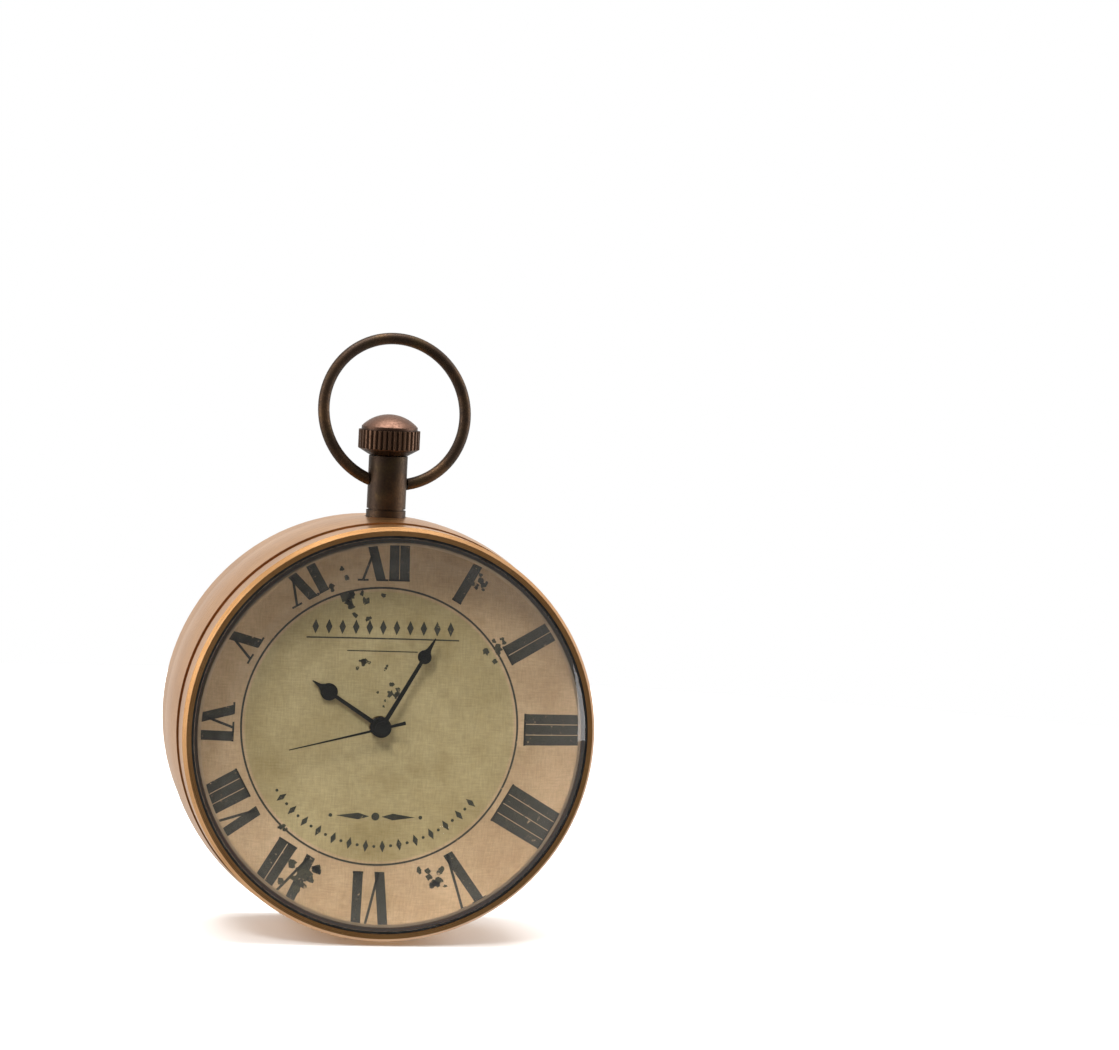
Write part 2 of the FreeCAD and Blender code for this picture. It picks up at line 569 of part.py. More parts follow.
board = new_body("circuit_board")
board_edge = [("-1.9", "5.3"), ("-1.9", "10.8"), ("-5.4", "9.8"), ("-8.6", "7.4"),
              ("-10.6", "3.9"), ("-9.2", "3.3"), ("-6.4", "5.0")]
pad(board, [board_edge] + circles(board_posts, "screw_r"), "-board_back", "board_t")
crystal = lathe("quartz_crystal", [
    ("0", "0"), ("crystal_r", "0"), ("crystal_r", "crystal_len"), ("0", "crystal_len")])
chip = new_body("clock_chip")
pad(chip, [[("-4.3", "8.5"), ("-2.5", "8.5"), ("-2.5", "9.9"), ("-4.3", "9.9")]],
    BOARD_FRONT, "0.6")

for piece in (main_plate, bridge, cover, movement_screws, strap, stator, core, coil, board, chip):
    on_case_axis(piece)


def placed(thing, local, turn=None):
    """Puts a piece at a point of the movement, given with Z towards the front."""
    spot = Vector(local.x, -local.z, val("case_r") + local.y)
    thing.Placement = FreeCAD.Placement(spot, CASE_TURN * (turn or Rotation()))
    bind(thing, "Placement.Base.z", f"case_r + {local.y:.6f}")


placed(battery, Vector(val("cell_x"), val("cell_y"), 0))
bind(battery, "Placement.Base.x", "cell_x")
placed(crystal, Vector(-3.0, 7.1, val(f"{BOARD_FRONT} + crystal_r")), Rotation(Vector(0, 1, 0), -90))

# ---- wheels -----------------------------------------------------------------------------------------


def toothed(teeth, module, bottom, height, phase):
    """A toothed wheel's solid disc with short, loose teeth, one of them centred on the phase."""
    pitch_r = teeth * module / 2
    root, crest = pitch_r - 1.2 * module, pitch_r + 0.75 * module
    step = 360 / teeth
    points = []
    for i in range(teeth):
        middle = phase + i * step
        points += [polar(r, middle + part * step)
                   for r, part in ((root, -0.32), (crest, -0.12), (crest, 0.12), (root, 0.32))]
    outline = Part.makePolygon(points + points[:1])
    disc = Part.Face(outline).extrude(Vector(0, 0, height))
    disc.translate(Vector(0, 0, bottom))
    return disc


def rod(r, bottom, top):
    return Part.makeCylinder(r, top - bottom, Vector(0, 0, bottom))


def spoked(disc, teeth, module, bottom, height):
    """The disc with four windows between its spokes."""
    outer = teeth * module / 2 - 3.2 * module
    inner = 0.9
    windows = []
    for i in range(4):
        window = Part.makeCylinder(outer, height + 0.2, Vector(0, 0, bottom - 0.1), Z_AXIS, 62)
        window = window.cut(rod(inner, bottom - 0.2, bottom + height + 0.2))
        window.rotate(Vector(), Z_AXIS, 90 * i + 14)
        windows.append(window)
    return disc.cut(windows)


def joined(*shapes):
    return shapes[0].fuse(list(shapes[1:])).removeSplitter()


def gap_phase(teeth, direction):
    """The phase that puts a gap of the wheel on a direction."""
    return direction + 180 / teeth


wheel_t = val("wheel_t")
main_back = val(MAIN_BACK)
bridge_front = val(BRIDGE_FRONT)
layer = wheel_t + val("layer_gap")
centre_z = main_back - val("end_gap") - wheel_t
third_z, fourth_z, fifth_z = (centre_z - layer * n for n in (1, 2, 3))
arbor_low, arbor_high = bridge_front - 0.3, main_back + 0.3
pivot_r = val("pivot_r")
third_way, fifth_way = val("third_angle"), val("fifth_angle")
motion_way, setting_way = val("motion_angle"), val("setting_angle")

third_wheel = part_feature("third_wheel", joined(
    spoked(toothed(THIRD_TEETH, third_m, third_z, wheel_t, gap_phase(THIRD_TEETH, third_way + 180)),
           THIRD_TEETH, third_m, third_z, wheel_t),
    toothed(THIRD_PINION, centre_m, third_z + wheel_t, layer + 0.05, third_way + 180),
    rod(pivot_r, arbor_low, arbor_high)))
placed(third_wheel, third_at)

fifth_wheel = part_feature("fifth_wheel", joined(
    spoked(toothed(FIFTH_TEETH, rotor_m, fifth_z, wheel_t, gap_phase(FIFTH_TEETH, fifth_way)),
           FIFTH_TEETH, rotor_m, fifth_z, wheel_t),
    toothed(FIFTH_PINION, fifth_m, fifth_z + wheel_t, layer + 0.05, fifth_way + 180),
    rod(pivot_r, arbor_low, arbor_high)))
placed(fifth_wheel, fifth_at)

magnet_low = val(STATOR_BACK) - 0.1
rotor = part_feature("rotor", joined(
    toothed(ROTOR_PINION, rotor_m, fifth_z - 0.05, wheel_t + 0.1, fifth_way + 180),
    rod(val("magnet_r"), magnet_low, val(STATOR_FRONT) + 0.15),
    rod(pivot_r, arbor_low, arbor_high)))
placed(rotor, rotor_at)

seconds_r, centre_pipe_r = val("seconds_r"), val("centre_pipe_r")
seconds_wheel = part_feature("seconds_wheel", joined(
    spoked(toothed(FOURTH_TEETH, fifth_m, fourth_z, wheel_t, gap_phase(FOURTH_TEETH, fifth_way)),
           FOURTH_TEETH, fifth_m, fourth_z, wheel_t),
    toothed(FOURTH_PINION, third_m, fourth_z + wheel_t, layer + 0.05, third_way),
    rod(seconds_r, arbor_low, val("seconds_hand_at"))))
on_case_axis(seconds_wheel)

centre_wheel = part_feature("centre_wheel", joined(
    spoked(toothed(CENTRE_TEETH, centre_m, centre_z, wheel_t, gap_phase(CENTRE_TEETH, third_way)),
           CENTRE_TEETH, centre_m, centre_z, wheel_t),
    rod(centre_pipe_r, centre_z, val("minute_hand_at"))).cut(
        rod(seconds_r + val("run_gap"), centre_z - 1, val("minute_hand_at") + 1)))
on_case_axis(centre_wheel)

motion_z = val("main_front + end_gap")
cannon_pinion = part_feature("cannon_pinion", joined(
    toothed(CANNON_TEETH, motion_m, motion_z - 0.05, wheel_t + 0.1, motion_way),
    rod(val("cannon_pipe_r"), motion_z, val("minute_hand_at + hand_t"))).cut(
        rod(centre_pipe_r, motion_z - 1, val("minute_hand_at") + 1)))
on_case_axis(cannon_pinion)

minute_phase = gap_phase(MINUTE_TEETH, motion_way + 180)
hour_z = motion_z + wheel_t + val("layer_gap")
minute_wheel = part_feature("minute_wheel", joined(
    toothed(MINUTE_TEETH, motion_m, motion_z, wheel_t, minute_phase),
    toothed(MINUTE_PINION, hour_m, motion_z + wheel_t, hour_z - motion_z + 0.05, motion_way + 180)).cut(
        rod(pivot_r * 2 + val("run_gap"), motion_z - 1, motion_z + 2)))
placed(minute_wheel, minute_at)

hour_wheel = part_feature("hour_wheel", joined(
    toothed(HOUR_TEETH, hour_m, hour_z, wheel_t, gap_phase(HOUR_TEETH, motion_way)),
    rod(val("hour_pipe_r"), hour_z, val("hour_hand_at + hand_t"))).cut(
        rod(val("cannon_pipe_r + run_gap"), hour_z - 1, val("hour_hand_at") + 1)))
on_case_axis(hour_wheel)

past = ((setting_way - minute_phase) * MINUTE_TEETH / 360) % 1
setting_phase = setting_way + 180 + (past + 0.5) * 360 / SETTING_TEETH
setting_wheel = part_feature("setting_wheel", toothed(
    SETTING_TEETH, motion_m, motion_z, wheel_t, setting_phase).cut(
        rod(pivot_r * 2 + val("run_gap"), motion_z - 1, motion_z + 2)))
placed(setting_wheel, setting_at)

# the setting lever rocks on its post and its fork reaches the stem's clip
lever_z = -val("clip_r") - 0.35
arm_length = lever_post.x
lever_points = [Vector(0.55, -0.6, 0), Vector(0.55, 0.6, 0), Vector(-0.3, 0.6, 0),
                Vector(-arm_length - 0.5, 0.1, 0), Vector(-arm_length - 0.5, -0.45, 0), Vector(-0.3, -0.6, 0)]
lever_solid = Part.Face(Part.makePolygon(lever_points + lever_points[:1])).extrude(Vector(0, 0, 0.3))
lever_solid.translate(Vector(0, 0, lever_z))
setting_lever = part_feature("setting_lever", lever_solid.cut(
    rod(val("screw_r + run_gap"), lever_z - 1, lever_z + 1)))
placed(setting_lever, lever_post)

# ---- hands --------------------------------------------------------------------------------------------


def pear_hand(label, length, bulb_at, bulb_r, bore, height, turn):
    """A hand with a round swelling before its point."""
    hand = new_body(label)
    pad(hand, [("0", "0", "hub_r"), ("0", "0", bore)], height, "hand_t")
    pad(hand, [[("-hand_w", "hub_r * 0.9"), ("hand_w", "hub_r * 0.9"), ("hand_w * 0.8", bulb_at),
                ("-hand_w * 0.8", bulb_at)]], height, "hand_t")
    pad(hand, [("0", bulb_at, bulb_r)], height, "hand_t")
    shoulder = f"{bulb_at} + {bulb_r} * 0.8"
    waist = f"{bulb_at} + {bulb_r} * 1.25"
    pad(hand, [[(f"-{bulb_r} * 0.55", shoulder), (f"{bulb_r} * 0.55", shoulder), ("hand_w", waist),
                ("0.06", length), ("-0.06", length), ("-hand_w", waist)]], height, "hand_t")
    on_case_axis(hand, val(turn))


pear_hand("hour_hand", "hour_len", "hour_bulb_at", "hour_bulb_r", "hour_pipe_r",
          "hour_hand_at", "hour_turn")
pear_hand("minute_hand", "minute_len", "minute_bulb_at", "minute_bulb_r", "cannon_pipe_r",
          "minute_hand_at", "minute_turn")
seconds_hand = new_body("seconds_hand")
pad(seconds_hand, [("0", "0", "hub_r * 0.7")], "seconds_hand_at", "hand_t")
pad(seconds_hand, [("0", "0", "collet_r"), ("0", "0", "seconds_r")],
    "seconds_hand_at - collet_h", "collet_h")
pad(seconds_hand, [[("-seconds_w", "hub_r * 0.6"), ("seconds_w", "hub_r * 0.6"),
                    ("0.05", "seconds_len"), ("-0.05", "seconds_len")]], "seconds_hand_at", "hand_t")
pad(seconds_hand, [[("seconds_w", "-hub_r * 0.6"), ("-seconds_w", "-hub_r * 0.6"),
                    ("-seconds_w * 1.6", "-seconds_tail"), ("seconds_w * 1.6", "-seconds_tail")]],
    "seconds_hand_at", "hand_t")
on_case_axis(seconds_hand, val("seconds_turn"))

# ---- checks and files -----------------------------------------------------------------------------------

doc.recompute()
for thing in doc.Objects:
    assert not {"Invalid", "Error"} & set(thing.State), f"{thing.Label}: {thing.State}"
os.makedirs("parts", exist_ok=True)
for piece in parts:
    shape = piece.Shape
    assert not shape.isNull() and shape.isValid() and shape.Solids, f"{piece.Label} has no sound solid"
    shape.exportStep(f"parts/{piece.Label}.step")
print(len(parts), "pieces")
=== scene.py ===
import json
import math
import random

import bpy
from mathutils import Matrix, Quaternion, Vector


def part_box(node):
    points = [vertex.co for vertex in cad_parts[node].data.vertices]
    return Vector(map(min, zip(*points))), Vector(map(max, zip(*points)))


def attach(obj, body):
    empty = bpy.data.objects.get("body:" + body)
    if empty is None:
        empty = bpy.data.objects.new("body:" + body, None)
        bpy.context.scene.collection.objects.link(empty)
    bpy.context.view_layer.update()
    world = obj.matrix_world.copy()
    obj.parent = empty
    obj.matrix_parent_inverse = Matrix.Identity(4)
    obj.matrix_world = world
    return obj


# A ball watch, in metres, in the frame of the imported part: X right and Z up seen from the
# front, with the clock dial facing -Y and the compass card facing +Y.

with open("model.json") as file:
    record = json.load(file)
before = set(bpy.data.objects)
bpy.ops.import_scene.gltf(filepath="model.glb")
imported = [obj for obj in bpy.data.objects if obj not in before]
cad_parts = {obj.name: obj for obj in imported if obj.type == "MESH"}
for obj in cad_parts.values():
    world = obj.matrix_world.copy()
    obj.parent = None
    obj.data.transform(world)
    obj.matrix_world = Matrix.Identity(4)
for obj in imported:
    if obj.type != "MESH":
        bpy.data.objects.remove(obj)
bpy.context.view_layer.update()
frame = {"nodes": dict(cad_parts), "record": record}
MM = 0.001


def mid(node):
    low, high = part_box(node)
    return (low + high) / 2


CENTRE_Z = mid("front_bezel").z
DIAL_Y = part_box("dial_face")[0].y
CARD_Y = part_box("compass_card")[1].y
DIAL_R = (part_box("dial_face")[1].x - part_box("dial_face")[0].x) / 2 / MM
INK_LIFT, BLOT_LIFT, LAYER_LIFT = 0.00002, 0.00003, 0.00001

# ---- node helpers ---------------------------------------------------------------------------


class Shader:
    """A material's node tree, with short calls to add and join nodes."""

    def __init__(self, name):
        self.material = bpy.data.materials.new(name)
        self.material.use_nodes = True
        self.tree = self.material.node_tree
        self.bsdf = self.tree.nodes["Principled BSDF"]
        self.output = self.tree.nodes["Material Output"]

    def add(self, kind, **settings):
        node = self.tree.nodes.new(kind)
        for key, value in settings.items():
            setattr(node, key, value)
        return node

    def put(self, socket, value):
        """Joins a socket, or sets its constant."""
        if isinstance(value, bpy.types.NodeSocket):
            self.tree.links.new(value, socket)
        elif hasattr(socket.default_value, "__len__") and len(socket.default_value) == 4:
            socket.default_value = tuple(value)[:3] + (1.0,)
        else:
            socket.default_value = value

    def set(self, **values):
        for key, value in values.items():
            self.put(self.bsdf.inputs[key.replace("_", " ")], value)

    def place(self):
        return self.add("ShaderNodeTexCoord").outputs["Object"]

    def math(self, operation, a, b=0.0, c=0.0):
        node = self.add("ShaderNodeMath", operation=operation)
        for socket, value in zip(node.inputs, (a, b, c)):
            self.put(socket, value)
        return node.outputs[0]

    def split(self, vector):
        node = self.add("ShaderNodeSeparateXYZ")
        self.put(node.inputs[0], vector)
        return node.outputs

    def join(self, x, y, z):
        node = self.add("ShaderNodeCombineXYZ")
        for socket, value in zip(node.inputs, (x, y, z)):
            self.put(socket, value)
        return node.outputs[0]

    def noise(self, vector, scale, detail=3.0, rough=0.5):
        node = self.add("ShaderNodeTexNoise")
        self.put(node.inputs["Vector"], vector)
        node.inputs["Scale"].default_value = scale
        node.inputs["Detail"].default_value = detail
        node.inputs["Roughness"].default_value = rough
        return node.outputs["Fac"]

    def ramp(self, value, *stops):
        """Maps a value to 0..1 or to colours: stops are (place, number or colour)."""
        node = self.add("ShaderNodeValToRGB")
        self.put(node.inputs[0], value)
        elements = node.color_ramp.elements
        while len(elements) < len(stops):
            elements.new(0.5)
        for element, (place, colour) in zip(elements, stops):
            element.position = place
            shade = colour if isinstance(colour, tuple) else (colour,) * 3
            element.color = shade + (1.0,)
        return node.outputs["Color"]

    def mix(self, factor, a, b, blend="MIX"):
        node = self.add("ShaderNodeMix", data_type="RGBA", blend_type=blend)
        self.put(node.inputs["Factor"], factor)
        self.put(node.inputs[6], a)
        self.put(node.inputs[7], b)
        return node.outputs[2]

    def bump(self, height, strength, distance):
        node = self.add("ShaderNodeBump")
        self.put(node.inputs["Height"], height)
        node.inputs["Strength"].default_value = strength
        node.inputs["Distance"].default_value = distance
        self.put(self.bsdf.inputs["Normal"], node.outputs[0])

    def around_case(self):
        """(radius from the case's axis, place along it), in metres."""
        x, y, z = self.split(self.place())
        up = self.math("SUBTRACT", z, CENTRE_Z)
        across = self.math("ADD", self.math("MULTIPLY", x, x), self.math("MULTIPLY", up, up))
        return self.math("SQRT", across), y


# ---- materials ------------------------------------------------------------------------------


def turned_bronze():
    """Copper-coloured bronze with the fine rings that a lathe tool and polishing leave."""
    m = Shader("turned_bronze")
    radius, along = m.around_case()
    x, _, z = m.split(m.place())
    rings = m.noise(m.join(m.math("MULTIPLY", radius, 14000.0), m.math("MULTIPLY", along, 14000.0),
                           m.math("MULTIPLY", m.math("ADD", x, z), 60.0)), 1.0, 2.0)
    cloud = m.noise(m.place(), 160.0, 4.0, 0.6)
    fleck = m.noise(m.place(), 2600.0, 2.0, 0.6)
    base = m.ramp(cloud, (0.25, (0.50, 0.250, 0.092)), (0.75, (0.65, 0.355, 0.150)))
    base = m.mix(m.ramp(fleck, (0.60, 0.0), (0.72, 0.35)), base, (0.24, 0.11, 0.045))
    m.set(Base_Color=base, Metallic=1.0, Roughness=m.ramp(rings, (0.3, 0.24), (0.7, 0.38)))
    m.bump(rings, 0.25, 0.00002)
    return m.material


def patina(name, dark, warm, olive, rough):
    """Antiqued brass: a dark coat, rubbed warm in patches and olive in others."""
    m = Shader(name)
    place = m.place()
    broad = m.noise(place, 190.0, 4.0, 0.6)
    other = m.noise(m.join(*[m.math("ADD", s, 0.31) for s in m.split(place)]), 240.0, 4.0, 0.6)
    grain = m.noise(place, 3000.0, 3.0, 0.65)
    base = m.mix(m.ramp(broad, (0.45, 0.0), (0.68, 0.85)), dark, warm)
    base = m.mix(m.ramp(other, (0.52, 0.0), (0.72, 0.6)), base, olive)
    base = m.mix(m.ramp(grain, (0.35, 0.0), (0.75, 0.45)), base, tuple(c * 0.45 for c in dark))
    m.set(Base_Color=base, Metallic=0.85, Roughness=m.ramp(grain, (0.3, rough), (0.7, rough + 0.2)))
    m.bump(grain, 0.35, 0.00003)
    return m.material


def crown_bronze():
    """The crown: dark in its flutes, lighter and reddish on its dome at the top."""
    m = Shader("crown_bronze")
    place = m.place()
    x, y, z = m.split(place)
    low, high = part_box("crown")
    grain = m.noise(place, 2600.0, 3.0, 0.6)
    reach = m.math("SQRT", m.math("ADD", m.math("MULTIPLY", x, x), m.math("MULTIPLY", y, y)))
    flute = m.ramp(m.math("DIVIDE", reach, high.x), (0.90, 0.0), (0.985, 1.0))
    height = m.math("DIVIDE", m.math("SUBTRACT", z, low.z), high.z - low.z)
    dome = m.ramp(height, (0.70, 0.0), (0.80, 1.0))
    base = m.mix(flute, (0.016, 0.009, 0.006), (0.100, 0.054, 0.032))
    base = m.mix(dome, base, (0.150, 0.078, 0.052))
    base = m.mix(m.ramp(grain, (0.4, 0.0), (0.75, 0.6)), base, (0.07, 0.035, 0.02))
    m.set(Base_Color=base, Metallic=0.85, Roughness=m.ramp(grain, (0.3, 0.32), (0.7, 0.55)))
    m.bump(grain, 0.3, 0.00003)
    return m.material


def clear_glass():
    """Clear glass with the faint green of thick soda glass; it lets light through to the dial."""
    m = Shader("clear_glass")
    smear = m.noise(m.place(), 90.0, 3.0)
    m.set(Base_Color=m.ramp(smear, (0.3, (0.982, 0.990, 0.984)), (0.7, (0.990, 0.996, 0.991))),
          Roughness=0.0, IOR=1.5, Transmission_Weight=1.0)
    shadow = m.add("ShaderNodeLightPath").outputs["Is Shadow Ray"]
    clear = m.add("ShaderNodeBsdfTransparent")
    clear.inputs["Color"].default_value = (0.95, 0.96, 0.95, 1.0)
    both = m.add("ShaderNodeMixShader")
    m.put(both.inputs[0], shadow)
    m.put(both.inputs[1], m.bsdf.outputs[0])
    m.put(both.inputs[2], clear.outputs[0])
    m.put(m.output.inputs["Surface"], both.outputs[0])
    return m.material


def grainy(name, dark, light, scale, rough, gloss=0.5):
    """A plain matt finish with a fine mottle and grain."""
    m = Shader(name)
    place = m.place()
    mottle = m.noise(place, scale, 4.0, 0.6)
    grain = m.noise(place, scale * 9.0, 2.0)
    m.set(Base_Color=m.ramp(mottle, (0.3, dark), (0.7, light)), Specular_IOR_Level=gloss,
          Roughness=m.ramp(grain, (0.3, rough), (0.7, rough + 0.15)))
    m.bump(grain, 0.2, 0.00002)
    return m.material


def bezel_gasket():
    """A thin black seal, with a tan band on its inner face that is a painted reflection."""
    m = Shader("black_rubber")
    radius, _ = m.around_case()
    grain = m.noise(m.place(), 900.0, 3.0)
    low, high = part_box("front_gasket")
    # the inner face is painted tan: a painted reflection, not the seal's own colour
    inner_face = m.ramp(m.math("DIVIDE", radius, (high.x - low.x) / 2), (0.9865, 1.0), (0.9880, 0.0))
    black = m.ramp(grain, (0.3, (0.006, 0.006, 0.006)), (0.7, (0.014, 0.014, 0.013)))
    painted_reflection_tan = m.ramp(grain, (0.3, (0.30, 0.21, 0.14)), (0.7, (0.40, 0.29, 0.20)))
    m.set(Base_Color=m.mix(inner_face, black, painted_reflection_tan), Roughness=0.7, Specular_IOR_Level=0.15)
    m.bump(grain, 0.2, 0.00002)
    return m.material


def brushed(name, dark, light, rough=0.3):
    """Metal with a straight grain along X."""
    m = Shader(name)
    x, y, z = m.split(m.place())
    lines = m.noise(m.join(m.math("MULTIPLY", x, 300.0), m.math("MULTIPLY", y, 9000.0),
                           m.math("MULTIPLY", z, 9000.0)), 1.0, 2.0)
    m.set(Base_Color=m.ramp(lines, (0.3, dark), (0.7, light)), Metallic=1.0,
          Roughness=m.ramp(lines, (0.3, rough), (0.7, rough + 0.15)))
    m.bump(lines, 0.2, 0.00001)
    return m.material


def wound_wire():
    """Enamelled wire, wound close: fine turns across the coil."""
    m = Shader("wound_wire")
    x, y, z = m.split(m.place())
    run = m.math("ADD", m.math("MULTIPLY", x, 0.34), m.math("MULTIPLY", z, -0.94))
    turns = m.math("SINE", m.math("MULTIPLY", run, 42000.0))
    copper = m.mix(m.ramp(turns, (0.2, 0.0), (0.8, 1.0)), (0.22, 0.06, 0.02), (0.62, 0.24, 0.10))
    m.set(Base_Color=copper, Metallic=0.7, Roughness=0.3)
    m.bump(turns, 0.5, 0.00003)
    return m.material


ALONG_THREAD, ACROSS_THREAD = 700.0, 5200.0


def woven(m, place):
    """The fine crossed threads of a linen-finished paper, 0 to 1."""
    x, _, z = m.split(place)
    across = m.noise(m.join(m.math("MULTIPLY", x, ALONG_THREAD), 0.0,
                            m.math("MULTIPLY", z, ACROSS_THREAD)), 1.0, 1.0)
    down = m.noise(m.join(m.math("MULTIPLY", x, ACROSS_THREAD), 3.0,
                          m.math("MULTIPLY", z, ALONG_THREAD)), 1.0, 1.0)
    return m.math("MULTIPLY", m.math("ADD", across, down), 0.5)


def dial_paper_colour(m, place):
    """Aged print: olive beige inside the thin ring, pinkish tan outside it, with soft stains."""
    radius, _ = m.around_case()
    cloud = m.noise(place, 85.0, 5.0, 0.62)
    stain = m.noise(m.join(*[m.math("ADD", s, 0.17) for s in m.split(place)]), 120.0, 4.0, 0.6)
    outer = m.ramp(cloud, (0.30, (0.430, 0.290, 0.160)), (0.70, (0.640, 0.465, 0.290)))
    inner = m.ramp(cloud, (0.28, (0.335, 0.255, 0.115)), (0.72, (0.540, 0.440, 0.240)))
    edge = m.ramp(m.math("DIVIDE", radius, DIAL_R * MM), (0.612, 0.0), (0.622, 1.0))
    base = m.mix(edge, inner, outer)
    base = m.mix(m.ramp(stain, (0.56, 0.0), (0.74, 0.45)), base, (0.27, 0.19, 0.07))
    threads = m.ramp(woven(m, place), (0.35, 0.86), (0.65, 1.08))
    return m.mix(1.0, base, threads, "MULTIPLY")


def card_paper_colour(m, place):
    """Pale grey-green engraver's paper with a faint mottle."""
    cloud = m.noise(place, 110.0, 5.0, 0.6)
    base = m.ramp(cloud, (0.3, (0.520, 0.555, 0.455)), (0.7, (0.660, 0.690, 0.580)))
    threads = m.ramp(woven(m, place), (0.35, 0.90), (0.65, 1.05))
    return m.mix(1.0, base, threads, "MULTIPLY")


def paper(name, colour):
    m = Shader(name)
    place = m.place()
    m.set(Base_Color=colour(m, place), Roughness=0.82, Specular_IOR_Level=0.12)
    m.bump(woven(m, place), 0.15, 0.00002)
    return m.material


def ink(name, colour, shade, worn, engraved=0.0):
    """Print on that paper: worn through in flecks, and cut by fine lines where engraved."""
    m = Shader(name)
    place = m.place()
    printed = m.ramp(m.noise(place, 900.0, 2.0), (0.3, shade), (0.7, tuple(c * 1.35 for c in shade)))
    flecks = m.ramp(m.noise(place, 1500.0, 4.0, 0.7), (worn, 1.0), (worn + 0.10, 0.0))
    base = m.mix(flecks, colour(m, place), printed)
    if engraved:
        lines = m.noise(place, 3400.0, 3.0, 0.6)
        base = m.mix(m.ramp(lines, (0.46, 0.0), (0.54, engraved)), base, colour(m, place))
    m.set(Base_Color=base, Roughness=0.8, Specular_IOR_Level=0.08)
    m.bump(woven(m, place), 0.15, 0.00002)
    return m.material


# ---- flat print -------------------------------------------------------------------------------


def turned(points, angle):
    """Points turned clockwise by degrees about the dial's centre."""
    s, c = math.sin(math.radians(angle)), math.cos(math.radians(angle))
    return [(x * c + y * s, -x * s + y * c) for x, y in points]


def moved(points, dx, dy, scale=1.0):
    return [(x * scale + dx, y * scale + dy) for x, y in points]


def bar(x0, y0, x1, y1, w0, w1=None):
    """A straight stroke between two points with a width at each end."""
    w1 = w0 if w1 is None else w1
    length = math.hypot(x1 - x0, y1 - y0)
    nx, ny = -(y1 - y0) / length, (x1 - x0) / length
    return [(x0 + nx * w0 / 2, y0 + ny * w0 / 2), (x0 - nx * w0 / 2, y0 - ny * w0 / 2),
            (x1 - nx * w1 / 2, y1 - ny * w1 / 2), (x1 + nx * w1 / 2, y1 + ny * w1 / 2)]


def slanted(x0, x1, low, high, width):
    """A diagonal stroke with level ends: x0 at the foot, x1 at the top."""
    return [(x0 - width / 2, low), (x0 + width / 2, low), (x1 + width / 2, high), (x1 - width / 2, high)]


def circle_band(r0, r1, steps=180):
    """A thin ring as a run of four-sided pieces."""
    around = [2 * math.pi * i / steps for i in range(steps + 1)]
    return [[(r0 * math.sin(a), r0 * math.cos(a)), (r1 * math.sin(a), r1 * math.cos(a)),
             (r1 * math.sin(b), r1 * math.cos(b)), (r0 * math.sin(b), r0 * math.cos(b))]
            for a, b in zip(around, around[1:])]


def disc(x, y, r, steps=28):
    return [(x + r * math.sin(2 * math.pi * i / steps), y + r * math.cos(2 * math.pi * i / steps))
            for i in range(steps)]


def swept(path):
    """A curved stroke: path is (x, y, width) points."""
    sides = []
    for i, (x, y, width) in enumerate(path):
        ax, ay, _ = path[max(i - 1, 0)]
        bx, by, _ = path[min(i + 1, len(path) - 1)]
        length = math.hypot(bx - ax, by - ay) or 1.0
        nx, ny = -(by - ay) / length, (bx - ax) / length
        sides.append(((x + nx * width / 2, y + ny * width / 2), (x - nx * width / 2, y - ny * width / 2)))
    return [[a[0], a[1], b[1], b[0]] for a, b in zip(sides, sides[1:])]


def flat_piece(name, polygons, material, y, facing, body="case"):
    """A print layer of polygons in millimetres about the dial's centre, lying on a face at y."""
    vertices, faces = [], []
    for polygon in polygons:
        first = len(vertices)
        vertices += [(x * MM, y, CENTRE_Z + z * MM) for x, z in polygon]
        faces.append(list(range(first, first + len(polygon))))
    mesh = bpy.data.meshes.new(name)
    mesh.from_pydata(vertices, [], faces)
    mesh.update()
    for face in mesh.polygons:
        if face.normal.y * facing < 0:
            face.flip()
    mesh.materials.append(material)
    piece = bpy.data.objects.new(name, mesh)
    bpy.context.collection.objects.link(piece)
    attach(piece, body)


# ---- dial: Roman numerals ------------------------------------------------------------------------

THICK, THIN, SERIF, GAP = 1.24, 0.34, 0.26, 0.10
FOOT_R, HEAD_R = 18.3, 26.3
V_WIDTH, X_WIDTH = 3.1, 3.3
RING_LINE = (17.27, 17.53)


def numeral(text):
    """A Roman numeral's strokes, middle at x = 0, its foot on the inner circle."""
    tall = HEAD_R - FOOT_R
    strokes, x = [], 0.0
    for letter in text:
        if letter == "I":
            strokes.append(bar(x + THICK / 2, 0, x + THICK / 2, tall, THICK))
            strokes += [bar(x - GAP / 2, y, x + THICK + GAP / 2, y, SERIF)
                        for y in (SERIF / 2, tall - SERIF / 2)]
            x += THICK + GAP
        elif letter == "V":
            foot, end = x + V_WIDTH / 2, x + V_WIDTH
            strokes.append(slanted(foot, x + THICK / 2, 0, tall, THICK))
            strokes.append(slanted(foot + 0.1, end, 0, tall, THIN))
            strokes += [bar(x - 0.35, tall - 0.1, x + THICK + 0.35, tall - 0.1, SERIF),
                        bar(end - 0.55, tall - 0.1, end + 0.5, tall - 0.1, SERIF)]
            x += V_WIDTH + 0.4 + GAP
        else:
            end = x + X_WIDTH
            strokes.append(slanted(end - THICK / 2, x + THICK / 2, 0, tall, THICK))
            strokes.append(slanted(x + 0.35, end - 0.3, 0, tall, THIN))
            strokes += [bar(a, y, b, y, SERIF) for y in (0.1, tall - 0.1)
                        for a, b in ((x - 0.3, x + 1.1), (end - 1.1, end + 0.3))]
            x += X_WIDTH + 0.3 + GAP
    return [moved(stroke, -(x - GAP) / 2, FOOT_R) for stroke in strokes]


HOURS = ("XII", "I", "II", "III", "IIII", "V", "VI", "VII", "VIII", "IX", "X", "XI")
numerals = []
for hour, text in enumerate(HOURS):
    numerals += [turned(stroke, hour * 30) for stroke in numeral(text)]

dial_ink = ink("dial_ink", dial_paper_colour, (0.040, 0.038, 0.030), 0.63)
flat_piece("dial_numerals", numerals, dial_ink, DIAL_Y - INK_LIFT, -1)
flat_piece("dial_ring_line", circle_band(*RING_LINE), dial_ink, DIAL_Y - INK_LIFT, -1)

